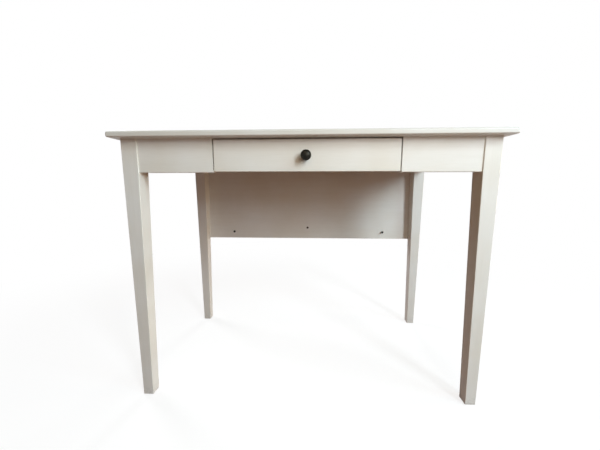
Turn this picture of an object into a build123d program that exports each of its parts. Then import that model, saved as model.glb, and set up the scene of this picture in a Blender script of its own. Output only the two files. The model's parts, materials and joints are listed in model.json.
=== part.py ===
"""Writing desk: painted top on four tapered legs, with one shallow drawer and a deep back panel.

Millimetres. The origin is on the floor under the middle of the top, +Z is up, the drawer
faces -Y, and +X is to the right of somebody who sits at the desk.
"""

import os

from build123d import *

# Overall sizes
desk_height = 752
top_width = 1000
top_depth = 510
top_thickness = 15
top_upper_radius = 6      # rounding along the upper edges of the top
top_lower_radius = 3      # rounding along its lower edges
top_corner_radius = 5     # corners of the top seen from above
front_overhang = 28       # from the front edge of the top back to the legs
side_overhang = 18
back_overhang = 15        # to the backs of the legs, over the back panel

# Legs: square beside the aprons, tapered on their two inner faces down to the foot
leg_width = 42
foot_width = 29
leg_edge_radius = 1.5
glide_radius = 10
glide_thickness = 2
glide_nail_radius = 1.2
glide_nail_length = 14

# Boards that join the legs
board_thickness = 18
board_edge_radius = 1
leg_reveal = 3            # the boards stand this far inside the leg faces
apron_height = 86
rail_height = 52
panel_height = 352
panel_thickness = 12
panel_end_inset = 3       # from the outer faces of the back legs to the ends of the panel

# The three marks along the bottom of the back panel
panel_hole_radius = 5
panel_hole_depth = 9
panel_hole_rise = 48
panel_screw_spread = 331  # from the middle of the panel to each screw
panel_screw_rise = 30
panel_screw_depth = 9     # how deep each screw is driven into the panel

# Drawer
opening_width = 484
drawer_gap = 3            # above and beside the drawer front
front_rise = 2            # from the lower edge of the aprons to that of the drawer front
drawer_front_thickness = 18
box_side_gap = 4          # between a drawer side and the support beside it
box_low_rise = 22         # from the lower edge of the drawer front to the drawer sides
box_top_gap = 10          # from the drawer sides to the top above them
box_depth = 300
box_thickness = 14
bottom_thickness = 4
bottom_rise = 5           # from the lower edge of the drawer sides to the bottom panel
bottom_groove_depth = 5
groove_play = 0.1         # round the bottom panel in its grooves

# Wooden runners on the supports, in grooves of the drawer sides
runner_height = 12
runner_middle_rise = 28   # from the lower edge of the drawer sides to the runner's middle
runner_inset = 12         # from the back of the aprons to the front end of a runner
runner_back_gap = 12
slide_groove_depth = 6
side_play = 0.5
top_play = 0.3
bottom_play = 0.7
stop_play = 0.5

# Turned knob
knob_radius = 13.5
knob_neck_radius = 5.5
knob_foot_radius = 8
knob_foot_thickness = 2
knob_dome_height = 11
knob_length = 28
knob_screw_gap = 4        # from the head of the knob's screw to the drawer bottom
knob_screw_radius = 2
knob_screw_grip = 14      # thread inside the knob

# Dowels
dowel_radius = 4
dowel_length = 24
box_dowel_radius = 3
dowel_chamfer = 0.8
hole_play = 0.1           # radial room round each fastener

# Cam fittings
cam_radius = 7.4
cam_reach = 34            # from the face of the leg to the middle of the cam
cam_slot_width = 1.4
cam_slot_length = 9
cam_slot_depth = 1.4
cam_channel_radius = 3.8  # for the bolt, which lies in the middle of the board
cam_bolt_radius = 2.5
cam_bolt_head_radius = 3.5
cam_bolt_thread_radius = 3
cam_bolt_grip = 11        # thread inside the leg

# Angle brackets under the top and their screws
bracket_leaf = 20
bracket_width = 16
bracket_thickness = 2
bracket_corner_radius = 4
bracket_hole_reach = 12   # from the bracket's corner to each hole
small_screw_radius = 1.75
small_screw_length = 12
small_head_radius = 3.4
small_head_height = 2.2

# Countersunk screws
sunk_head_radius = 3.6
sunk_head_angle = 90
sunk_head_depth = 0.3     # how far the head lies below the surface
runner_screw_length = 21
box_screw_length = 30
back_screw_length = 35    # through the back panel into the legs and the supports

# Knob's screw and the two proud screws in the back panel
knob_head_radius = 4
knob_head_height = 2.8
panel_head_radius = 5
panel_head_height = 3.2
panel_screw_radius = 2
panel_screw_proud = 6     # free shank between the panel and the head
nail_radius = 0.8
nail_length = 20
nail_head_radius = 2
nail_head_height = 0.5
tip_length = 3
recess_width = 1          # cross recess in every screw head
recess_depth = 1.2

# Spacing of the fastenings, from the edges or ends of the board that they are in
apron_dowel_margin = 23
rail_dowel_margin = 12
rail_bracket_margin = 82
panel_bracket_margin = 110
support_screw_margin = 14
leg_screw_margin = 30
runner_screw_margin = 40
nail_margin = 40
box_fastening_rise = 5    # from the drawer bottom to the lower dowel and screw
box_fastening_drop = 8    # from the upper edge of a drawer side to the upper ones

# Heights that several pieces share
under_top = desk_height - top_thickness
apron_low = under_top - apron_height
rail_low = under_top - rail_height
panel_low = under_top - panel_height

# Places across the width
leg_outer = top_width / 2 - side_overhang
leg_inner = leg_outer - leg_width
rail_outer = leg_outer - leg_reveal
rail_inner = rail_outer - board_thickness
rail_middle = rail_outer - board_thickness / 2
leg_middle = (leg_outer + leg_inner) / 2
panel_end = leg_outer - panel_end_inset
support_inner = opening_width / 2
support_outer = support_inner + board_thickness
support_middle = support_inner + board_thickness / 2
box_outer = support_inner - box_side_gap
box_inner = box_outer - box_thickness

# Places from front to back
leg_front = -top_depth / 2 + front_overhang
leg_back = top_depth / 2 - back_overhang
rail_front = leg_front + leg_width
rail_back = leg_back - leg_width
apron_front = leg_front + leg_reveal
apron_back = apron_front + board_thickness
apron_middle = apron_front + board_thickness / 2
panel_front = leg_back
panel_back = panel_front + panel_thickness
front_back = apron_front + drawer_front_thickness
box_back = front_back + box_depth

# Heights in the drawer
front_low = apron_low + front_rise
front_high = under_top - drawer_gap
box_low = front_low + box_low_rise
box_high = under_top - box_top_gap
bottom_low = box_low + bottom_rise
bottom_high = bottom_low + bottom_thickness
runner_middle = box_low + runner_middle_rise
runner_low = runner_middle - runner_height / 2
runner_high = runner_middle + runner_height / 2
runner_front = apron_back + runner_inset
runner_end = panel_front - runner_back_gap
runner_inner = box_outer - slide_groove_depth + side_play
knob_height = bottom_high + knob_screw_gap + knob_head_radius

# A cam reaches just past the bolt in the middle of its board
cam_depth = board_thickness / 2 + cam_channel_radius

sides = {"left": -1, "right": 1}
ends = {"front": -1, "back": 1}
right, back, up = Vector(1, 0, 0), Vector(0, 1, 0), Vector(0, 0, 1)


def save(piece, name):
    piece.part.label = name
    export_step(piece.part, f"parts/{name}.step")


def fill(low, high, mode=Mode.ADD):
    """Box between two opposite corners."""
    middle = tuple((a + b) / 2 for a, b in zip(low, high))
    with Locations(middle):
        Box(*[abs(b - a) for a, b in zip(low, high)], mode=mode)


def spread(low, high, count, margin):
    """Evenly spaced places between two limits, the outer ones a margin inside them."""
    step = (high - low - 2 * margin) / (count - 1)
    return [low + margin + index * step for index in range(count)]


# Seats of the dowels and cam bolts: planes on the face of the leg or apron that holds them,
# with z pointing into the apron, rail or support that is fixed there.

def seat(x, y, z, outward):
    return Plane(origin=(x, y, z), z_dir=outward)


def apron_seats(side, heights):
    return [seat(side * leg_inner, apron_middle, z, -side * right) for z in heights]


def rail_seats(side, end, heights):
    y = rail_front if end < 0 else rail_back
    return [seat(side * rail_middle, y, z, -end * back) for z in heights]


def support_seats(side, heights):
    return [seat(side * support_middle, apron_back, z, back) for z in heights]


apron_dowel_heights = spread(apron_low, under_top, 2, apron_dowel_margin)
apron_cam_heights = [(apron_low + under_top) / 2]
rail_dowel_heights = spread(rail_low, under_top, 2, rail_dowel_margin)
rail_cam_heights = [(rail_low + under_top) / 2]
box_fastening_heights = [bottom_high + box_fastening_rise, box_high - box_fastening_drop]


def leg_dowel_seats(side, end):
    across = apron_seats(side, apron_dowel_heights) if end < 0 else []
    return across + rail_seats(side, end, rail_dowel_heights)


def leg_cam_seats(side, end):
    across = apron_seats(side, apron_cam_heights) if end < 0 else []
    return across + rail_seats(side, end, rail_cam_heights)


def cam_site(bolt_seat, board_face):
    """Plane on the face of a board above its cam, with x pointing back to the leg."""
    reach = bolt_seat.origin + bolt_seat.z_dir * cam_reach
    offset = board_face.to_local_coords(reach).Z
    return Plane(origin=reach - board_face.z_dir * offset, x_dir=-bolt_seat.z_dir, z_dir=board_face.z_dir)


def apron_cam_sites(side):
    face = Plane(origin=(0, apron_back, 0), z_dir=back)
    return [cam_site(bolt_seat, face) for bolt_seat in apron_seats(side, apron_cam_heights)]


def rail_cam_sites(side):
    face = Plane(origin=(side * rail_inner, 0, 0), z_dir=-side * right)
    seats = rail_seats(side, -1, rail_cam_heights) + rail_seats(side, 1, rail_cam_heights)
    return [cam_site(bolt_seat, face) for bolt_seat in seats]


# Angle brackets: planes in the corner between a board and the top, with x away from the board.

def bracket_plane(x, y, away):
    return Plane(origin=(x, y, under_top), x_dir=away, z_dir=up)


def rail_bracket_planes(side):
    places = spread(rail_front, rail_back, 2, rail_bracket_margin)
    return [bracket_plane(side * rail_inner, y, -side * right) for y in places]


def apron_bracket_planes(side):
    return [bracket_plane(side * (support_outer + leg_inner) / 2, apron_back, back)]


def support_bracket_planes(side):
    return [bracket_plane(side * support_outer, (apron_back + panel_front) / 2, side * right)]


def panel_bracket_planes():
    places = spread(-leg_inner, leg_inner, 3, panel_bracket_margin)
    return [bracket_plane(x, panel_front, -back) for x in places]


def all_bracket_planes():
    planes = panel_bracket_planes()
    for side in sides.values():
        planes += rail_bracket_planes(side) + apron_bracket_planes(side) + support_bracket_planes(side)
    return planes


def shifted(plane, x, z, outward):
    """Plane at a place given in another plane's x and z, facing outward."""
    return Plane(origin=plane.from_local_coords((x, 0, z)), z_dir=outward)


def board_screw_sites(planes, level=0):
    """Sites of the bracket screws in a board, level above its face."""
    return [shifted(plane, level, -bracket_hole_reach, plane.x_dir) for plane in planes]


def top_screw_sites(planes, level=0):
    """Sites of the bracket screws in the top, level below it."""
    return [shifted(plane, bracket_hole_reach, -level, -up) for plane in planes]


def bracket_holes(planes):
    """Pilot holes for the bracket screws of one board."""
    with Locations(*board_screw_sites(planes)):
        Hole(small_screw_radius + hole_play, depth=small_screw_length - bracket_thickness + hole_play)


# Countersunk screws: planes on the surface that their heads lie in.

def runner_screw_sites(side):
    places = spread(runner_front, runner_end, 3, runner_screw_margin)
    return [seat(side * runner_inner, y, runner_middle, -side * right) for y in places]


def box_screw_sites(side):
    y = box_back - box_thickness / 2
    return [seat(side * box_outer, y, z, side * right) for z in box_fastening_heights]


def support_screw_sites(side):
    heights = spread(rail_low, under_top, 2, support_screw_margin)
    return [seat(side * support_middle, panel_back, z, back) for z in heights]


def leg_screw_sites(side):
    heights = spread(panel_low, under_top, 3, leg_screw_margin)
    return [seat(side * leg_middle, panel_back, z, back) for z in heights]


def box_dowel_seats(side):
    x = side * (box_outer - box_thickness / 2)
    return [seat(x, front_back, z, back) for z in box_fastening_heights]


def sunk_hole(depth):
    CounterSinkHole(
        radius=small_screw_radius + hole_play,
        counter_sink_radius=sunk_head_radius + hole_play + sunk_head_depth,
        depth=depth,
        counter_sink_angle=sunk_head_angle,
    )


def dowel_holes(seats, radius=dowel_radius):
    """Holes on the side that the seats face away from."""
    with Locations(*seats):
        Hole(radius + hole_play, depth=dowel_length / 2 + hole_play)


def back_screw_holes(sites):
    """Pilot holes behind the panel for the screws that come through it."""
    with Locations(*[site.offset(-panel_thickness) for site in sites]):
        Hole(small_screw_radius + hole_play, depth=back_screw_length - panel_thickness + hole_play)


def flipped(planes):
    return [-plane for plane in planes]


# Table frame

def desk_top():
    with BuildPart() as top:
        with BuildSketch(Plane.XY.offset(under_top)):
            RectangleRounded(top_width, top_depth, top_corner_radius)
        extrude(amount=top_thickness)
        lower_face, upper_face = top.faces().filter_by(Axis.Z).sort_by(Axis.Z)
        fillet(lower_face.edges(), top_lower_radius)
        fillet(upper_face.edges(), top_upper_radius)
        with Locations(*top_screw_sites(all_bracket_planes())):
            Hole(small_screw_radius + hole_play, depth=small_screw_length - bracket_thickness + hole_play)
    return top


def leg(side, end):
    corner = (side * leg_outer, leg_front if end < 0 else leg_back)
    inward = tuple(Align.MIN if sign < 0 else Align.MAX for sign in (side, end))
    with BuildPart() as post:
        for height, width in ((glide_thickness, foot_width), (apron_low, leg_width)):
            with BuildSketch(Plane.XY.offset(height)):
                with Locations(corner):
                    Rectangle(width, width, align=inward)
        loft()
        extrude(post.faces().sort_by(Axis.Z)[-1], amount=apron_height)
        long_edges = post.edges().filter_by(lambda edge: abs(edge.tangent_at(0.5).Z) > 0.9)
        fillet(long_edges, leg_edge_radius)
        dowel_holes(leg_dowel_seats(side, end))
        with Locations(*leg_cam_seats(side, end)):
            Hole(cam_bolt_thread_radius + hole_play, depth=cam_bolt_grip + hole_play)
        if end > 0:
            back_screw_holes(leg_screw_sites(side))
        with Locations(foot_plane(side, end)):
            Hole(glide_nail_radius + hole_play, depth=glide_nail_length + hole_play)
    return post


def foot_plane(side, end):
    """Plane under the middle of a leg's foot, facing the floor."""
    x = side * (leg_outer - foot_width / 2)
    y = leg_front + foot_width / 2 if end < 0 else leg_back - foot_width / 2
    return Plane(origin=(x, y, glide_thickness), z_dir=-up)


def front_apron(side):
    with BuildPart() as apron:
        fill((side * support_inner, apron_front, apron_low), (side * leg_inner, apron_back, under_top))
        lower_edges = apron.faces().sort_by(Axis.Z)[0].edges().filter_by(Axis.X)
        fillet(lower_edges, board_edge_radius)
        dowel_holes(flipped(apron_seats(side, apron_dowel_heights)))
        dowel_holes(support_seats(side, rail_dowel_heights))
        cam_bores(apron_seats(side, apron_cam_heights), apron_cam_sites(side))
        bracket_holes(apron_bracket_planes(side))
    return apron


def side_rail(side):
    with BuildPart() as rail:
        fill((side * rail_outer, rail_front, rail_low), (side * rail_inner, rail_back, under_top))
        lower_edges = rail.faces().sort_by(Axis.Z)[0].edges().filter_by(Axis.Y)
        fillet(lower_edges, board_edge_radius)
        for end in ends.values():
            dowel_holes(flipped(rail_seats(side, end, rail_dowel_heights)))
        bolt_seats = rail_seats(side, -1, rail_cam_heights) + rail_seats(side, 1, rail_cam_heights)
        cam_bores(bolt_seats, rail_cam_sites(side))
        bracket_holes(rail_bracket_planes(side))
    return rail


def cam_bores(bolt_seats, sites):
    """A blind bore for each cam and a hole from the end of the board for its bolt."""
    with Locations(*sites):
        Hole(cam_radius + hole_play, depth=cam_depth + hole_play)
    with Locations(*flipped(bolt_seats)):
        Hole(cam_bolt_head_radius + hole_play, depth=cam_reach)


def back_panel():
    """The panel lies on the backs of the legs and is screwed to them from behind."""
    with BuildPart() as panel:
        fill((-panel_end, panel_front, panel_low), (panel_end, panel_back, under_top))
        lower_edges = panel.faces().sort_by(Axis.Z)[0].edges().filter_by(Axis.X)
        fillet(lower_edges + panel.edges().filter_by(Axis.Z), board_edge_radius)
        with Locations(Plane(origin=(0, panel_front, panel_low + panel_hole_rise), z_dir=-back)):
            Hole(panel_hole_radius, depth=panel_hole_depth)
        with Locations(*panel_screw_sites()):
            Hole(panel_screw_radius + hole_play, depth=panel_screw_depth + hole_play)
        for side in sides.values():
            with Locations(*leg_screw_sites(side), *support_screw_sites(side)):
                sunk_hole(panel_thickness)
        bracket_holes(panel_bracket_planes())
    return panel


def panel_screw_sites(level=0):
    height = panel_low + panel_screw_rise
    return [seat(x, panel_front - level, height, -back) for x in (-panel_screw_spread, panel_screw_spread)]


def drawer_support(side):
    with BuildPart() as support:
        fill((side * support_inner, apron_back, rail_low), (side * support_outer, panel_front, under_top))
        lower_edges = support.faces().sort_by(Axis.Z)[0].edges().filter_by(Axis.Y)
        fillet(lower_edges, board_edge_radius)
        dowel_holes(flipped(support_seats(side, rail_dowel_heights)))
        bracket_holes(support_bracket_planes(side))
        with Locations(*[shift_to_support(site, side) for site in runner_screw_sites(side)]):
            Hole(small_screw_radius + hole_play, depth=runner_screw_length - runner_width() + hole_play)
        back_screw_holes(support_screw_sites(side))
    return support


def runner_width():
    return support_inner - runner_inner


def shift_to_support(site, side):
    """The same site, moved from the face of the runner to the face of the support."""
    return Plane(origin=(side * support_inner, site.origin.Y, site.origin.Z), z_dir=site.z_dir)


def runner(side):
    with BuildPart() as strip:
        fill((side * support_inner, runner_front, runner_low), (side * runner_inner, runner_end, runner_high))
        with Locations(*runner_screw_sites(side)):
            sunk_hole(runner_width())
    return strip


# Drawer

def drawer_front():
    half_width = support_inner - drawer_gap
    with BuildPart() as front:
        fill((-half_width, apron_front, front_low), (half_width, front_back, front_high))
        fillet(front.faces().sort_by(Axis.Y)[0].edges(), board_edge_radius)
        groove_half = box_inner + bottom_groove_depth
        fill(
            (-groove_half, front_back - bottom_groove_depth, bottom_low - groove_play),
            (groove_half, front_back, bottom_high + groove_play),
            mode=Mode.SUBTRACT,
        )
        for side in sides.values():
            dowel_holes(box_dowel_seats(side), box_dowel_radius)
        with Locations(Plane(origin=(0, apron_front, knob_height), z_dir=-back)):
            Hole(knob_screw_radius + hole_play)
    return front


def drawer_side(side):
    with BuildPart() as wall:
        fill((side * box_outer, front_back, box_low), (side * box_inner, box_back, box_high))
        fill(
            (side * box_outer, runner_front - stop_play, runner_low - bottom_play),
            (side * (box_outer - slide_groove_depth), box_back, runner_high + top_play),
            mode=Mode.SUBTRACT,
        )
        fill(
            (side * box_inner, front_back, bottom_low - groove_play),
            (side * (box_inner + bottom_groove_depth), box_back, bottom_high + groove_play),
            mode=Mode.SUBTRACT,
        )
        dowel_holes(flipped(box_dowel_seats(side)), box_dowel_radius)
        with Locations(*box_screw_sites(side)):
            sunk_hole(box_thickness)
    return wall


def drawer_back():
    with BuildPart() as wall:
        fill((-box_inner, box_back - box_thickness, bottom_high), (box_inner, box_back, box_high))
        for side in sides.values():
            with Locations(*[site.offset(-box_thickness) for site in box_screw_sites(side)]):
                Hole(small_screw_radius + hole_play, depth=box_screw_length - box_thickness + hole_play)
        with Locations(*[site.offset(-bottom_thickness) for site in nail_sites()]):
            Hole(nail_radius + hole_play, depth=nail_length - bottom_thickness + hole_play)
    return wall


def drawer_bottom():
    half_width = box_inner + bottom_groove_depth - 2 * groove_play
    front_edge = front_back - bottom_groove_depth + 2 * groove_play
    with BuildPart() as sheet:
        fill((-half_width, front_edge, bottom_low), (half_width, box_back, bottom_high))
        with Locations(*nail_sites()):
            Hole(nail_radius + hole_play, depth=bottom_thickness)
    return sheet


def nail_sites():
    """Planes under the drawer bottom, below the middle of the drawer back."""
    places = spread(-box_inner, box_inner, 4, nail_margin)
    return [seat(x, box_back - box_thickness / 2, bottom_low, -up) for x in places]


def drawer_knob():
    profile_plane = Plane(origin=(0, apron_front, knob_height), x_dir=-back, z_dir=right)
    rim = knob_length - knob_dome_height
    with BuildPart() as knob:
        with BuildSketch(profile_plane):
            with BuildLine():
                foot = Polyline((0, 0), (0, knob_foot_radius), (knob_foot_thickness, knob_foot_radius))
                Spline(
                    foot @ 1,
                    (rim / 2, knob_neck_radius),
                    (rim, knob_radius),
                    tangents=((0, -1), (1, 0)),
                )
                EllipticalCenterArc((rim, 0), knob_dome_height, knob_radius, start_angle=0, arc_size=90)
                Line((knob_length, 0), (0, 0))
            make_face()
        revolve(axis=Axis((0, apron_front, knob_height), (0, -1, 0)))
        with Locations(Plane(origin=(0, apron_front, knob_height), z_dir=back)):
            Hole(knob_screw_radius + hole_play, depth=knob_screw_grip + hole_play)
    return knob


# Fasteners: one of each is turned about Z with its head above z = 0, then set in its places

def turned(points):
    with BuildPart() as piece:
        with BuildSketch(Plane.XZ):
            Polygon(*points, align=None)
        revolve(axis=Axis.Z)
    return piece


def recessed(piece, height, reach):
    """Cuts a cross recess in the top of a head."""
    with BuildPart() as headed:
        add(piece.part)
        with Locations((0, 0, height)):
            Box(2 * reach, recess_width, 2 * recess_depth, mode=Mode.SUBTRACT)
            Box(recess_width, 2 * reach, 2 * recess_depth, mode=Mode.SUBTRACT)
    return headed


def round_screw(radius, length, head_radius, head_height):
    shoulder = 0.45 * head_height
    piece = turned([
        (0, -length),
        (radius, tip_length - length),
        (radius, 0),
        (head_radius, 0),
        (head_radius, shoulder),
        (0.6 * head_radius, head_height),
        (0, head_height),
    ])
    return recessed(piece, head_height, 0.55 * head_radius)


def sunk_screw(length):
    top_level = -sunk_head_depth
    neck_level = top_level - (sunk_head_radius - small_screw_radius)
    piece = turned([
        (0, -length),
        (small_screw_radius, tip_length - length),
        (small_screw_radius, neck_level),
        (sunk_head_radius, top_level),
        (0, top_level),
    ])
    return recessed(piece, top_level, 0.6 * sunk_head_radius)


def dowel(radius):
    reach = dowel_length / 2
    return turned([
        (0, -reach),
        (radius - dowel_chamfer, -reach),
        (radius, dowel_chamfer - reach),
        (radius, reach - dowel_chamfer),
        (radius - dowel_chamfer, reach),
        (0, reach),
    ])


def cam_bolt():
    head_end = cam_reach + cam_bolt_head_radius
    return turned([
        (0, -cam_bolt_grip),
        (cam_bolt_thread_radius, -cam_bolt_grip),
        (cam_bolt_thread_radius, 0),
        (cam_bolt_radius, 0),
        (cam_bolt_radius, cam_reach - cam_bolt_head_radius),
        (cam_bolt_head_radius, cam_reach - cam_bolt_head_radius / 2),
        (cam_bolt_head_radius, cam_reach + cam_bolt_head_radius / 2),
        (cam_bolt_radius, head_end),
        (0, head_end),
    ])


def cam():
    """A disc with a channel for the bolt and a cross slot."""
    channel = Plane(origin=(-cam_bolt_head_radius - hole_play, 0, -board_thickness / 2), z_dir=right)
    with BuildPart() as disc:
        with BuildSketch():
            Circle(cam_radius)
        extrude(amount=-cam_depth)
        with BuildSketch(channel):
            Circle(cam_channel_radius)
        extrude(amount=2 * cam_radius, mode=Mode.SUBTRACT)
        Box(cam_slot_length, cam_slot_width, 2 * cam_slot_depth, mode=Mode.SUBTRACT)
        Box(cam_slot_width, cam_slot_length, 2 * cam_slot_depth, mode=Mode.SUBTRACT)
    return disc


def bracket():
    """Angle bracket in its own plane: x away from the board, z up to the top."""
    with BuildPart() as angle:
        with BuildSketch(Plane.XZ.offset(-bracket_width / 2)):
            Polygon(
                (0, 0),
                (bracket_leaf, 0),
                (bracket_leaf, -bracket_thickness),
                (bracket_thickness, -bracket_thickness),
                (bracket_thickness, -bracket_leaf),
                (0, -bracket_leaf),
                align=None,
            )
        extrude(amount=bracket_width)
        leaf_ends = angle.edges().filter_by(lambda edge: edge.length <= bracket_thickness + 0.01)
        fillet(leaf_ends.filter_by(Axis.X) + leaf_ends.filter_by(Axis.Z), bracket_corner_radius)
        with Locations(Plane(origin=(bracket_hole_reach, 0, 0), z_dir=up)):
            Hole(small_screw_radius + hole_play)
        with Locations(Plane(origin=(bracket_thickness, 0, -bracket_hole_reach), z_dir=right)):
            Hole(small_screw_radius + hole_play, depth=2 * bracket_thickness)
    return angle


def group(piece, planes):
    """Separate copies of a small piece, one in each plane."""
    with BuildPart() as pieces:
        with Locations(*planes):
            add(piece.part)
    return pieces


def foot_glides():
    with BuildPart() as pads:
        for side in sides.values():
            for end in ends.values():
                with BuildSketch(foot_plane(side, end)):
                    Circle(glide_radius)
                extrude(amount=glide_thickness)
                with BuildSketch(foot_plane(side, end)):
                    Circle(glide_nail_radius)
                extrude(amount=-glide_nail_length)
    return pads


def gather(maker, *arguments):
    """One list of the planes that a function gives for the left and right sides."""
    return [plane for side in sides.values() for plane in maker(side, *arguments)]


def leg_planes(maker):
    return [plane for side in sides.values() for end in ends.values() for plane in maker(side, end)]


def main():
    os.makedirs("parts", exist_ok=True)

    save(desk_top(), "desk_top")
    for end_name, end in ends.items():
        for side_name, side in sides.items():
            save(leg(side, end), f"{end_name}_{side_name}_leg")
    for side_name, side in sides.items():
        save(front_apron(side), f"{side_name}_front_apron")
        save(side_rail(side), f"{side_name}_side_rail")
        save(drawer_support(side), f"{side_name}_drawer_support")
        save(runner(side), f"{side_name}_drawer_runner")
        save(drawer_side(side), f"drawer_{side_name}_side")
    save(back_panel(), "back_panel")

    save(drawer_front(), "drawer_front")
    save(drawer_back(), "drawer_back")
    save(drawer_bottom(), "drawer_bottom")
    save(drawer_knob(), "drawer_knob")

    frame_seats = leg_planes(leg_dowel_seats) + gather(support_seats, rail_dowel_heights)
    save(group(dowel(dowel_radius), frame_seats), "frame_dowels")
    save(group(dowel(box_dowel_radius), gather(box_dowel_seats)), "drawer_dowels")
    save(group(cam_bolt(), leg_planes(leg_cam_seats)), "cam_bolts")
    save(group(cam(), gather(apron_cam_sites) + gather(rail_cam_sites)), "cam_locks")

    planes = all_bracket_planes()
    save(group(bracket(), planes), "top_brackets")
    small_screw = round_screw(small_screw_radius, small_screw_length, small_head_radius, small_head_height)
    screw_sites = board_screw_sites(planes, bracket_thickness) + top_screw_sites(planes, bracket_thickness)
    save(group(small_screw, screw_sites), "bracket_screws")

    save(group(sunk_screw(runner_screw_length), gather(runner_screw_sites)), "runner_screws")
    back_screw_sites = gather(leg_screw_sites) + gather(support_screw_sites)
    save(group(sunk_screw(back_screw_length), back_screw_sites), "back_screws")
    save(group(sunk_screw(box_screw_length), gather(box_screw_sites)), "drawer_screws")

    nail = turned([
        (0, -nail_length),
        (nail_radius, tip_length - nail_length),
        (nail_radius, 0),
        (nail_head_radius, 0),
        (nail_head_radius, nail_head_height),
        (0, nail_head_height),
    ])
    save(group(nail, nail_sites()), "drawer_nails")

    panel_screw = round_screw(
        panel_screw_radius, panel_screw_proud + panel_screw_depth, panel_head_radius, panel_head_height
    )
    save(group(panel_screw, panel_screw_sites(panel_screw_proud)), "panel_screws")

    knob_screw = round_screw(
        knob_screw_radius, drawer_front_thickness + knob_screw_grip, knob_head_radius, knob_head_height
    )
    knob_screw_plane = Plane(origin=(0, front_back, knob_height), z_dir=back)
    save(group(knob_screw, [knob_screw_plane]), "knob_screw")

    save(foot_glides(), "foot_glides")


main()
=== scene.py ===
import json
import math

import bpy
import numpy as np
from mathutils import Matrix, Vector


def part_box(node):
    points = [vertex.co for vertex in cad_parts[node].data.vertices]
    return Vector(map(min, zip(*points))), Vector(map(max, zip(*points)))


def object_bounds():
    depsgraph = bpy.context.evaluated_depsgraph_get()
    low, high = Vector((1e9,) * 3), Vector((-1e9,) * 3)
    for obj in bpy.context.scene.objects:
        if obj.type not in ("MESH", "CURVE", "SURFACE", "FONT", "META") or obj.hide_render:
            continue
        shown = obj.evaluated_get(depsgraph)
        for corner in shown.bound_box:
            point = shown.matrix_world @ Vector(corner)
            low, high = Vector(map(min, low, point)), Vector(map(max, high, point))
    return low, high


# White-painted writing desk with one drawer: its finishes, the floor, the lamps and the camera.
# Metres. +Z is up, the drawer faces -Y, and +X is to the right of the person at the desk.

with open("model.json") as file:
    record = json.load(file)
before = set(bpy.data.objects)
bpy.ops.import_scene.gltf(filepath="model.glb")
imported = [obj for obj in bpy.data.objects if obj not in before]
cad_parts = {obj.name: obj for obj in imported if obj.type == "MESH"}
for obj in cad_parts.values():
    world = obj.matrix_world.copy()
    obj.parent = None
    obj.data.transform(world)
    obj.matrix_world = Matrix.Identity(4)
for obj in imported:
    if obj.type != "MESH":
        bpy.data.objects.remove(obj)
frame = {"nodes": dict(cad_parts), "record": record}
cadLow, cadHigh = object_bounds()
nodes = frame["nodes"]
mm = 0.001                       # in metres
noiseLow, noiseHigh = 0.3, 0.7   # nearly all values of a noise lie between these
print("frame loaded,", len(nodes), "nodes")


# linear value of an sRGB hex colour: the standard curve, straight below 0.04045
def linearColour(hexText):
    channels = np.array([int(hexText[place:place + 2], 16) for place in (1, 3, 5)]) / 255
    curve = ((channels + 0.055) / 1.055) ** 2.4
    return (*np.where(channels <= 0.04045, channels / 12.92, curve).tolist(), 1.0)


# adds one node and gives back one of its outputs: inputs are values or the sockets that
# feed them, settings are the node's own properties
def addNode(tree, kind, inputs=None, output=0, **settings):
    node = tree.nodes.new("ShaderNode" + kind)
    for name, value in settings.items():
        setattr(node, name, value)
    for name, value in (inputs or {}).items():
        if isinstance(value, bpy.types.NodeSocket):
            tree.links.new(value, node.inputs[name])
        else:
            node.inputs[name].default_value = value
    return node.outputs[output]


# a new material and its Principled shader, whose fixed numbers are set on its own sockets
def newMaterial(name, **fixed):
    material = bpy.data.materials.new(name)
    material.use_nodes = True
    shader = material.node_tree.nodes["Principled BSDF"]
    for socket, value in fixed.items():
        shader.inputs[socket].default_value = value
    return material, material.node_tree, shader


# joins what varies over the surface to the shader, and gives the material to a node
def dress(name, material, shader, colour, roughness, normal):
    tree = material.node_tree
    tree.links.new(colour, shader.inputs["Base Color"])
    tree.links.new(roughness, shader.inputs["Roughness"])
    tree.links.new(normal, shader.inputs["Normal"])
    mesh = nodes[name].data
    mesh.materials.clear()
    mesh.materials.append(material)


# object coordinates in millimetres, moved by a multiple of the piece's own place so that no
# two pieces share a pattern, and squeezed along the grain so that a pattern is drawn out there
def onPiece(tree, name, axis="x", stretch=1.0, turn=(0, 0, 0), spread=7):
    scale = [1 / mm] * 3
    scale["xyz".index(axis)] /= stretch
    ownPlace = [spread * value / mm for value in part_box(name)[0]]
    place = addNode(tree, "TexCoord", output="Object")
    return addNode(tree, "Mapping", {
        "Vector": place, "Scale": scale, "Rotation": turn, "Location": ownPlace,
    })


# Satin paint, sprayed on planed pine and rubbed down between coats. It gives the eye an even,
# nearly neutral white with a soft gloss, through which the long grain just shows.

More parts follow.
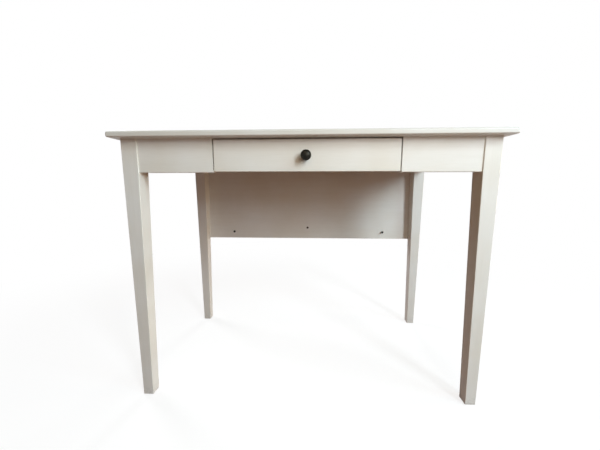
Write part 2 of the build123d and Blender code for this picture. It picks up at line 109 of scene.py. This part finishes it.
paint = {
    "white": "#eae9e5", "cream": "#e3dfd6", "shade": "#cdc6ba",
    "shadedWhite": "#dfdedb", "shadedCream": "#d8d4cc",  # the top's paint, darker: painted shade, as the lamps light the top more than the rest
    "thin": "#b9ab97",       # where the coat is rubbed thin on an arris
    "scuff": "#a0968a",      # what shoes and brooms leave near the floor
    "shadedRawBoard": "#3a2a1e",   # fibreboard inside the panel's hole, darkened as painted shade of the deep hole
    "ior": 1.49,
    "gloss": 0.38, "dull": 0.5,            # roughness between and on the raised lines
    "cloudSize": 160,        # mm, the slow drift from white to cream
    "lineFrom": 0.42, "lineFull": 0.72,    # noise values where the shade tone begins and is full
    "streakWidth": 14,       # mm between the broad bands of the grain
    "streakShare": 0.08,     # of the shade tone
    "grainWidth": 2.4,       # mm between raised lines, coarser than the fibres so that it shows
    "grainStretch": 14,      # times longer than wide
    "grainDepth": 0.045,     # mm
    "grainShare": 0.07,      # of the shade tone
    "peelSize": 1.5, "peelDepth": 0.018,   # mm, orange peel of the sprayed coat
    "arrisFull": 0.1, "arrisWidth": 1.3,   # mm from an arris where rubbing is full and ends
    "arrisShare": 0.4,
    "kickFull": 3, "kickHeight": 38,       # mm above the floor where scuffing is full and ends
    "kickShare": 0.3,
    "fleckSize": 4.5,        # mm, wear comes in flecks
    "fleckFrom": 0.46, "fleckFull": 0.64,  # noise values where a fleck begins and is full
}


# nearness to the edges of the piece's box, in mm: the middle one of a point's three
# distances to the pairs of faces is small only where two faces meet
def arrisDistance(tree, place, low, high):
    point = addNode(tree, "VectorMath", {0: place, 1: [1 / mm] * 3}, operation="MULTIPLY")
    lower = addNode(tree, "VectorMath", {
        0: point, 1: [value / mm for value in low],
    }, operation="SUBTRACT")
    upper = addNode(tree, "VectorMath", {
        0: [value / mm for value in high], 1: point,
    }, operation="SUBTRACT")
    nearest = addNode(tree, "VectorMath", {0: lower, 1: upper}, operation="MINIMUM")
    x, y, z = (addNode(tree, "SeparateXYZ", {0: nearest}, output) for output in range(3))
    least = addNode(tree, "Math", {0: x, 1: y}, operation="MINIMUM")
    most = addNode(tree, "Math", {0: x, 1: y}, operation="MAXIMUM")
    most = addNode(tree, "Math", {0: most, 1: z}, operation="MINIMUM")
    return addNode(tree, "Math", {0: least, 1: most}, operation="MAXIMUM")


# share of the hole's painted shade: 1 within the bore's radius of its axis, from just behind the
# board's front to the bore's flat end, and 0 on both faces of the board
def boreShare(tree, place, front, mount, margin=0.1 * mm):
    radius, length = mount["dims"]["r_mm"] * mm, mount["dims"]["length_mm"] * mm
    fromAxis = addNode(tree, "VectorMath", {0: place, 1: mount["pos_m"]}, operation="SUBTRACT")
    fromAxis = addNode(tree, "VectorMath", {0: fromAxis, 1: (1, 0, 1)}, operation="MULTIPLY")
    distance = addNode(tree, "VectorMath", {0: fromAxis}, "Value", operation="LENGTH")
    depth = addNode(tree, "SeparateXYZ", {0: place}, "Y")
    inside = addNode(tree, "Math", {0: distance, 1: radius + margin}, operation="LESS_THAN")
    behind = addNode(tree, "Math", {0: depth, 1: front + margin}, operation="GREATER_THAN")
    before = addNode(tree, "Math", {0: depth, 1: front + length + margin}, operation="LESS_THAN")
    within = addNode(tree, "Math", {0: behind, 1: before}, operation="MULTIPLY")
    return addNode(tree, "Math", {0: inside, 1: within}, operation="MULTIPLY")


def paintedWood(name, axis):
    material, tree, shader = newMaterial("satinPaint." + name, IOR=paint["ior"])
    low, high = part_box(name)
    place = addNode(tree, "TexCoord", output="Object")
    plain = onPiece(tree, name)
    drawn = onPiece(tree, name, axis, paint["grainStretch"])
    cloud = addNode(tree, "TexNoise", {
        "Vector": plain, "Scale": 1 / paint["cloudSize"], "Detail": 3,
    })
    streak = addNode(tree, "TexNoise", {
        "Vector": drawn, "Scale": 1 / paint["streakWidth"], "Detail": 2,
    })
    grain = addNode(tree, "TexNoise", {
        "Vector": drawn, "Scale": 1 / paint["grainWidth"], "Detail": 3,
        "Roughness": 0.6, "Distortion": 0.4,
    })
    peel = addNode(tree, "TexNoise", {
        "Vector": plain, "Scale": 1 / paint["peelSize"], "Detail": 1,
    })
    fleck = addNode(tree, "TexNoise", {
        "Vector": plain, "Scale": 1 / paint["fleckSize"], "Detail": 4, "Roughness": 0.7,
    })

    # a darker paint on the top is painted shade, to even out the stronger light that falls on it
    tones = ("shadedWhite", "shadedCream") if name == "desk_top" else ("white", "cream")
    white, cream = (linearColour(paint[tone]) for tone in tones)
    drift = addNode(tree, "MapRange", {
        "Value": cloud, "From Min": noiseLow, "From Max": noiseHigh,
    })
    colour = addNode(tree, "Mix", {0: drift, 6: white, 7: cream}, 2, data_type="RGBA")
    for pattern, share in ((streak, paint["streakShare"]), (grain, paint["grainShare"])):
        shown = addNode(tree, "MapRange", {
            "Value": pattern, "From Min": paint["lineFrom"], "From Max": paint["lineFull"],
            "To Max": share,
        }, interpolation_type="SMOOTHSTEP")
        colour = addNode(tree, "Mix", {
            0: shown, 6: colour, 7: linearColour(paint["shade"]),
        }, 2, data_type="RGBA")

    arris = addNode(tree, "MapRange", {
        "Value": arrisDistance(tree, place, low, high),
        "From Min": paint["arrisFull"], "From Max": paint["arrisWidth"],
        "To Min": paint["arrisShare"], "To Max": 0.0,
    }, interpolation_type="SMOOTHSTEP")
    kick = addNode(tree, "MapRange", {
        "Value": addNode(tree, "SeparateXYZ", {0: place}, "Z"),
        "From Min": paint["kickFull"] * mm, "From Max": paint["kickHeight"] * mm,
        "To Min": paint["kickShare"], "To Max": 0.0,
    }, interpolation_type="SMOOTHSTEP")
    worn = addNode(tree, "MapRange", {
        "Value": fleck, "From Min": paint["fleckFrom"], "From Max": paint["fleckFull"],
    }, interpolation_type="SMOOTHSTEP")
    for share, tone in ((arris, paint["thin"]), (kick, paint["scuff"])):
        share = addNode(tree, "Math", {0: share, 1: worn}, operation="MULTIPLY")
        colour = addNode(tree, "Mix", {
            0: share, 6: colour, 7: linearColour(tone),
        }, 2, data_type="RGBA")
    # the panel's hole: raw board darkened to near black, painted shade of its depth
    if name == "back_panel":
        mounts = frame["record"]["mounts"]
        hole = next(mount for mount in mounts if mount["kind"] == "bore")
        colour = addNode(tree, "Mix", {
            0: boreShare(tree, place, low.y, hole), 6: colour, 7: linearColour(paint["shadedRawBoard"]),
        }, 2, data_type="RGBA")

    sheen = addNode(tree, "MapRange", {
        "Value": grain, "From Min": noiseLow, "From Max": noiseHigh,
        "To Min": paint["gloss"], "To Max": paint["dull"],
    })
    normal = addNode(tree, "Bump", {"Height": grain, "Distance": paint["grainDepth"] * mm})
    normal = addNode(tree, "Bump", {
        "Height": peel, "Distance": paint["peelDepth"] * mm, "Normal": normal,
    })
    dress(name, material, shader, colour, sheen, normal)


# the axis that each board's grain runs along
for name, axis in {
    "desk_top": "x", "back_panel": "x", "drawer_front": "x",
    "left_front_apron": "x", "right_front_apron": "x",
    "left_side_rail": "y", "right_side_rail": "y",
    "left_drawer_support": "y", "right_drawer_support": "y",
    "front_left_leg": "z", "front_right_leg": "z", "back_left_leg": "z", "back_right_leg": "z",
}.items():
    paintedWood(name, axis)
print("painted boards and legs finished")


# Planed pine under clear lacquer: straw-coloured early wood that darkens slowly to a sharp
# line of late wood, in long wavering rings, with short dark resin lines and a thin gloss.

pine = {
    "early": "#e0c79a", "late": "#bd9158", "resin": "#8f6536",
    "ior": 1.5, "smooth": 0.34, "rough": 0.52,
    "lean": (0.03, 0.03, 0.03),            # radians, as no board is cut quite along the grain
    "ringWidth": 26,         # mm, size of the spots whose contour lines are the rings
    "ringStretch": 13,       # times longer than wide
    "ringCount": 7,          # contour lines from the lowest to the highest spot
    "lateFrom": 0.35,        # share of a ring's width where it begins to darken
    "fibreWidth": 0.6,       # mm, coarser than real fibres so that it shows
    "fibreStretch": 52,
    "resinFrom": 0.6, "resinFull": 0.8,    # noise values where a line begins and is full
    "resinShare": 0.7,
    "ringHeight": 0.4,       # of a ring's late wood, with a fibre's as 1
    "depth": 0.05,           # mm
}


def planedPine(name, axis):
    material, tree, shader = newMaterial("planedPine." + name, IOR=pine["ior"])
    drawn = onPiece(tree, name, axis, pine["ringStretch"], pine["lean"])
    fine = onPiece(tree, name, axis, pine["fibreStretch"])
    spots = addNode(tree, "TexNoise", {
        "Vector": drawn, "Scale": 1 / pine["ringWidth"], "Detail": 1, "Distortion": 0.5,
    })
    rings = addNode(tree, "Math", {0: spots, 1: pine["ringCount"]}, operation="MULTIPLY")
    rings = addNode(tree, "Math", {0: rings}, operation="FRACT")
    fibre = addNode(tree, "TexNoise", {
        "Vector": fine, "Scale": 1 / pine["fibreWidth"], "Detail": 3, "Roughness": 0.7,
    })
    late = addNode(tree, "MapRange", {
        "Value": rings, "From Min": pine["lateFrom"], "From Max": 1.0,
    }, interpolation_type="SMOOTHSTEP")
    colour = addNode(tree, "Mix", {
        0: late, 6: linearColour(pine["early"]), 7: linearColour(pine["late"]),
    }, 2, data_type="RGBA")
    dark = addNode(tree, "MapRange", {
        "Value": fibre, "From Min": pine["resinFrom"], "From Max": pine["resinFull"],
        "To Max": pine["resinShare"],
    })
    colour = addNode(tree, "Mix", {
        0: dark, 6: colour, 7: linearColour(pine["resin"]),
    }, 2, data_type="RGBA")
    shine = addNode(tree, "MapRange", {
        "Value": fibre, "To Min": pine["smooth"], "To Max": pine["rough"],
    })
    height = addNode(tree, "Math", {
        0: rings, 1: pine["ringHeight"], 2: fibre,
    }, operation="MULTIPLY_ADD")
    normal = addNode(tree, "Bump", {"Height": height, "Distance": pine["depth"] * mm})
    dress(name, material, shader, colour, shine, normal)


for name, axis in {
    "drawer_left_side": "y", "drawer_right_side": "y", "drawer_back": "x",
}.items():
    planedPine(name, axis)


# Bare beech, planed and turned: pinkish tan and dull, with short dark ray flecks along the
# grain over broad paler bands.

beech = {
    "pale": "#d9b58e", "deep": "#c2976d", "fleck": "#96683f",
    "ior": 1.5, "smooth": 0.5, "rough": 0.66,
    "bandWidth": 7, "bandStretch": 12,     # mm, and times longer than wide
    "bandFrom": 0.35, "bandFull": 0.65,    # noise values where a band begins and is full
    "fleckWidth": 0.45, "fleckStretch": 6,
    "fleckFrom": 0.6, "fleckFull": 0.7,
    "fleckShare": 0.6,
    "depth": 0.04,           # mm
}


def bareBeech(name, axis):
    material, tree, shader = newMaterial("bareBeech." + name, IOR=beech["ior"])
    drawn = onPiece(tree, name, axis, beech["bandStretch"])
    short = onPiece(tree, name, axis, beech["fleckStretch"])
    band = addNode(tree, "TexNoise", {
        "Vector": drawn, "Scale": 1 / beech["bandWidth"], "Detail": 2,
    })
    fleck = addNode(tree, "TexNoise", {
        "Vector": short, "Scale": 1 / beech["fleckWidth"], "Detail": 1,
    })
    share = addNode(tree, "MapRange", {
        "Value": band, "From Min": beech["bandFrom"], "From Max": beech["bandFull"],
    })
    colour = addNode(tree, "Mix", {
        0: share, 6: linearColour(beech["pale"]), 7: linearColour(beech["deep"]),
    }, 2, data_type="RGBA")
    share = addNode(tree, "MapRange", {
        "Value": fleck, "From Min": beech["fleckFrom"], "From Max": beech["fleckFull"],
        "To Max": beech["fleckShare"],
    })
    colour = addNode(tree, "Mix", {
        0: share, 6: colour, 7: linearColour(beech["fleck"]),
    }, 2, data_type="RGBA")
    shine = addNode(tree, "MapRange", {
        "Value": band, "To Min": beech["smooth"], "To Max": beech["rough"],
    })
    normal = addNode(tree, "Bump", {"Height": fleck, "Distance": beech["depth"] * mm})
    dress(name, material, shader, colour, shine, normal)


for name, axis in {
    "left_drawer_runner": "y", "right_drawer_runner": "y",
    "frame_dowels": "x", "drawer_dowels": "y",
}.items():
    bareBeech(name, axis)


# Lacquered hardboard: pressed wood fibres under a thin pale film, a fine felted mottle.

board = {
    "film": "#dcd6c8", "fibre": "#b39a78",
    "ior": 1.49, "smooth": 0.34, "rough": 0.5,
    "fibreSize": 1.4, "cloudSize": 60, "depth": 0.05,  # mm
    "fibreFrom": 0.5, "fibreFull": 0.72,   # noise values where a fibre begins and is full
    "fibreShare": 0.5,
}


def lacqueredHardboard(name):
    material, tree, shader = newMaterial("lacqueredHardboard", IOR=board["ior"])
    plain = onPiece(tree, name)
    felt = addNode(tree, "TexNoise", {
        "Vector": plain, "Scale": 1 / board["fibreSize"], "Detail": 5,
        "Roughness": 0.75, "Distortion": 1.2,
    })
    cloud = addNode(tree, "TexNoise", {
        "Vector": plain, "Scale": 1 / board["cloudSize"], "Detail": 2,
    })
    share = addNode(tree, "MapRange", {
        "Value": felt, "From Min": board["fibreFrom"], "From Max": board["fibreFull"],
        "To Max": board["fibreShare"],
    })
    colour = addNode(tree, "Mix", {
        0: share, 6: linearColour(board["film"]), 7: linearColour(board["fibre"]),
    }, 2, data_type="RGBA")
    shine = addNode(tree, "MapRange", {
        "Value": cloud, "To Min": board["smooth"], "To Max": board["rough"],
    })
    normal = addNode(tree, "Bump", {"Height": felt, "Distance": board["depth"] * mm})
    dress(name, material, shader, colour, shine, normal)


lacqueredHardboard("drawer_bottom")
print("drawer box and runners finished")


# The metals and the glides share one build: two tones of the surface in soft clouds, a third
# in their deepest spots, and grit that roughens and dents it.
# antiqued bronze: brass darkened in a bath and waxed, almost black, warmer where it is rubbed
# bright zinc: plated steel, bluish grey with the straw tint of its passivation
# dulled zinc: the same plate, in a dark grey, on the two screws that stand out from the panel
# cast zinc: matt mid grey with the grainy skin of the mould
# moulded polyethylene: milky and waxy, greyed where it rubs on the floor

antiquedBronze = {
    "metallic": 0.85, "tones": ("#191713", "#211e19", "#3d3529"), "roughness": (0.32, 0.5),
    "cloudSize": 5, "gritSize": 0.8, "depth": 0.012,  # mm
}
brightZinc = {
    "metallic": 1.0, "tones": ("#a9b3c0", "#b9bcc0", "#c4bca4"), "roughness": (0.24, 0.42),
    "cloudSize": 6, "gritSize": 0.4, "depth": 0.01,
}
dulledZinc = {
    "metallic": 0.9, "tones": ("#3a3937", "#464340", "#574e43"), "roughness": (0.42, 0.6),
    "cloudSize": 3, "gritSize": 0.4, "depth": 0.015,
}
castZinc = {
    "metallic": 1.0, "tones": ("#9b9c9d", "#8c8d8f", "#77787a"), "roughness": (0.42, 0.6),
    "cloudSize": 2, "gritSize": 0.6, "depth": 0.03,
}
polyethylene = {
    "metallic": 0.0, "tones": ("#dbd8cf", "#cdc9be", "#9a9388"), "roughness": (0.4, 0.6),
    "cloudSize": 4, "gritSize": 0.7, "depth": 0.02,
}
# cloud values up to which the first tone is pure, where the second is, and where the third
# has its full share
toneSteps = {"first": 0.35, "second": 0.55, "third": 0.75, "thirdShare": 0.8}


def smallPart(name, title, finish):
    material, tree, shader = newMaterial(title + "." + name, Metallic=finish["metallic"])
    plain = onPiece(tree, name)
    cloud = addNode(tree, "TexNoise", {
        "Vector": plain, "Scale": 1 / finish["cloudSize"], "Detail": 3,
    })
    grit = addNode(tree, "TexNoise", {
        "Vector": plain, "Scale": 1 / finish["gritSize"], "Detail": 3,
    })
    first, second, third = (linearColour(tone) for tone in finish["tones"])
    share = addNode(tree, "MapRange", {
        "Value": cloud, "From Min": toneSteps["first"], "From Max": toneSteps["second"],
    })
    colour = addNode(tree, "Mix", {0: share, 6: first, 7: second}, 2, data_type="RGBA")
    share = addNode(tree, "MapRange", {
        "Value": cloud, "From Min": toneSteps["second"], "From Max": toneSteps["third"],
        "To Max": toneSteps["thirdShare"],
    })
    colour = addNode(tree, "Mix", {0: share, 6: colour, 7: third}, 2, data_type="RGBA")
    smooth, rough = finish["roughness"]
    shine = addNode(tree, "MapRange", {
        "Value": grit, "From Min": noiseLow, "From Max": noiseHigh,
        "To Min": smooth, "To Max": rough,
    })
    normal = addNode(tree, "Bump", {"Height": grit, "Distance": finish["depth"] * mm})
    dress(name, material, shader, colour, shine, normal)


smallPart("drawer_knob", "antiquedBronze", antiquedBronze)
smallPart("panel_screws", "dulledZinc", dulledZinc)
smallPart("cam_locks", "castZinc", castZinc)
smallPart("foot_glides", "polyethylene", polyethylene)
for name in (
    "knob_screw", "cam_bolts", "top_brackets", "bracket_screws",
    "runner_screws", "back_screws", "drawer_screws", "drawer_nails",
):
    smallPart(name, "brightZinc", brightZinc)
print("knob, fittings and glides finished")


# The floor is a disc. Light that bounces off it takes the tone of a brown wooden floor. What
# the camera sees of it, straight or in a gloss, is white, and only the desk's shadow greys it.

studio = {
    "floorRadius": 6.0,      # metres, as all lengths here
    "floorDrop": 0.0005,     # below the feet
    "floorBounce": "#86604a",
    "whiteShare": 0.79,      # white that the floor shows by itself, even in shadow
    "litShare": 0.26,        # white that it shows only where the lamps reach it
    "clearFrom": 0.8, "clearTo": 2.0,      # from here to here the shadow fades out
    "worldColour": "#ffb395", "worldStrength": 0.06,
    "aim": (0.0, 0.0, 0.55),               # the point that all lamps face
}


# a flat disc: one middle point, a rim of points at even angles and one radius round it, and
# a triangle from the middle to each pair of neighbours on the rim
def makeDisc(name, radius, height, spokes=96):
    angles = np.linspace(0, 2 * math.pi, spokes, endpoint=False)
    rim = np.stack([radius * np.cos(angles), radius * np.sin(angles), np.full(spokes, height)], 1)
    points = np.vstack([[0, 0, height], rim])
    step = np.arange(spokes)
    faces = np.stack([np.zeros(spokes, int), step + 1, (step + 1) % spokes + 1], 1)
    mesh = bpy.data.meshes.new(name)
    mesh.from_pydata(points.tolist(), [], faces.tolist())
    disc = bpy.data.objects.new(name, mesh)
    bpy.context.scene.collection.objects.link(disc)
    return disc


# 1 for rays from the camera, straight or by way of a gloss or glass, and 0 for light itself
def seenShare(tree):
    rays = [addNode(tree, "LightPath", output=kind + " Ray")
            for kind in ("Is Camera", "Is Glossy", "Is Transmission")]
    seen = addNode(tree, "Math", {0: rays[0], 1: rays[1]}, operation="MAXIMUM")
    return addNode(tree, "Math", {0: seen, 1: rays[2]}, operation="MAXIMUM")


def floorFinish():
    material = bpy.data.materials.new("paleFloor")
    material.use_nodes = True
    tree = material.node_tree
    tree.nodes.remove(tree.nodes["Principled BSDF"])
    bounce = addNode(tree, "BsdfDiffuse", {"Color": linearColour(studio["floorBounce"])})
    lit = addNode(tree, "BsdfDiffuse", {"Color": (studio["litShare"],) * 3 + (1,)})
    own = addNode(tree, "Emission", {"Strength": studio["whiteShare"]})
    white = addNode(tree, "Emission", {"Strength": 1.0})
    place = addNode(tree, "TexCoord", output="Object")
    distance = addNode(tree, "VectorMath", {0: place}, "Value", operation="LENGTH")
    clear = addNode(tree, "MapRange", {
        "Value": distance, "From Min": studio["clearFrom"], "From Max": studio["clearTo"],
    }, interpolation_type="SMOOTHSTEP")
    near = addNode(tree, "AddShader", {0: lit, 1: own})
    seen = addNode(tree, "MixShader", {0: clear, 1: near, 2: white})
    mixed = addNode(tree, "MixShader", {0: seenShare(tree), 1: bounce, 2: seen})
    tree.links.new(mixed, tree.nodes["Material Output"].inputs["Surface"])
    return material


floor = makeDisc("floor", studio["floorRadius"], cadLow.z - studio["floorDrop"])
floor.data.materials.append(floorFinish())

world = bpy.data.worlds.new("softRoom")
bpy.context.scene.world = world
world.use_nodes = True
tree = world.node_tree
fill = tree.nodes["Background"]
fill.inputs["Color"].default_value = linearColour(studio["worldColour"])
fill.inputs["Strength"].default_value = studio["worldStrength"]
backdrop = addNode(tree, "Background", {"Color": (1, 1, 1, 1), "Strength": 1.0})
mixed = addNode(tree, "MixShader", {0: seenShare(tree), 1: fill.outputs[0], 2: backdrop})
tree.links.new(mixed, tree.nodes["World Output"].inputs["Surface"])
print("floor and backdrop made")


# Three windows light the desk from the front right and the right, two weak lamps fill the
# front, and the last two reach the sides that those leave dark.
# Each lamp faces the aim: turn is its angle from straight in front towards the right, rise its
# angle above the aim, both in degrees, and its distance and size are in metres. A white card
# at the aim that faces a lamp of level 1 renders as about 1: watts = level x (pi x distance)^2.

lamps = {
    "tallWindow": {
        "turn": 38, "rise": 26, "distance": 3.2,
        "size": (0.58, 1.92), "level": 0.67, "colour": "#e9f6ff",
    },
    "wideWindow": {
        "turn": 64, "rise": 30, "distance": 3.5,
        "size": (1.1, 1.1), "level": 0.32, "colour": "#d8f8ff",
    },
    "sideWindow": {
        "turn": 90, "rise": 4, "distance": 4.0,
        "size": (1.0, 1.0), "level": 0.25, "colour": "#ffe2b8",
    },
    "roomLight": {
        "turn": 20, "rise": 16, "distance": 1.2,
        "size": (0.5, 0.5), "level": 0.16, "colour": "#fffdf2",
    },
    "warmLight": {
        "turn": 0, "rise": 35, "distance": 1.3,
        "size": (0.6, 0.6), "level": 0.06, "colour": "#ffe07e",
    },
    "backLight": {
        "turn": 173, "rise": 3, "distance": 4.0,
        "size": (0.8, 0.8), "level": 0.65, "colour": "#fafdff",
    },
    "leftLight": {
        "turn": -118, "rise": 34, "distance": 3.6,
        "size": (0.9, 0.9), "level": 0.34, "colour": "#fafdff",
    },
}


def hangLamp(name, lamp):
    turn, rise = math.radians(lamp["turn"]), math.radians(lamp["rise"])
    flat = math.cos(rise)
    way = Vector((math.sin(turn) * flat, -math.cos(turn) * flat, math.sin(rise)))
    light = bpy.data.lights.new(name, "AREA")
    light.shape = "RECTANGLE"
    light.size, light.size_y = lamp["size"]
    light.energy = lamp["level"] * (math.pi * lamp["distance"]) ** 2
    light.color = linearColour(lamp["colour"])[:3]
    holder = bpy.data.objects.new(name, light)
    holder.location = Vector(studio["aim"]) + way * lamp["distance"]
    holder.rotation_euler = (-way).to_track_quat("-Z", "Y").to_euler()
    bpy.context.scene.collection.objects.link(holder)


for name, lamp in lamps.items():
    hangLamp(name, lamp)

view = {
    "place": (0.0116, -0.8862, 0.6120), "nearest": 0.02,  # metres
    "turn": 2.386, "tilt": -7.946, "lean": 0.03,          # degrees from straight ahead and level
    "sensor": 36, "lens": 15.188,                         # mm
    "shift": (0.0005, -0.0036),                           # of the picture's width
}
camera = bpy.data.cameras.new("camera")
camera.sensor_width = view["sensor"]
camera.lens = view["lens"]
camera.shift_x, camera.shift_y = view["shift"]
camera.clip_start = view["nearest"]
eye = bpy.data.objects.new("camera", camera)
eye.location = view["place"]
angles = (90 + view["tilt"], view["lean"], view["turn"])  # unturned, a camera looks down
eye.rotation_euler = [math.radians(angle) for angle in angles]
bpy.context.scene.collection.objects.link(eye)
bpy.context.scene.camera = eye
bpy.context.scene.view_settings.view_transform = "Standard"
print("lamps and camera placed")
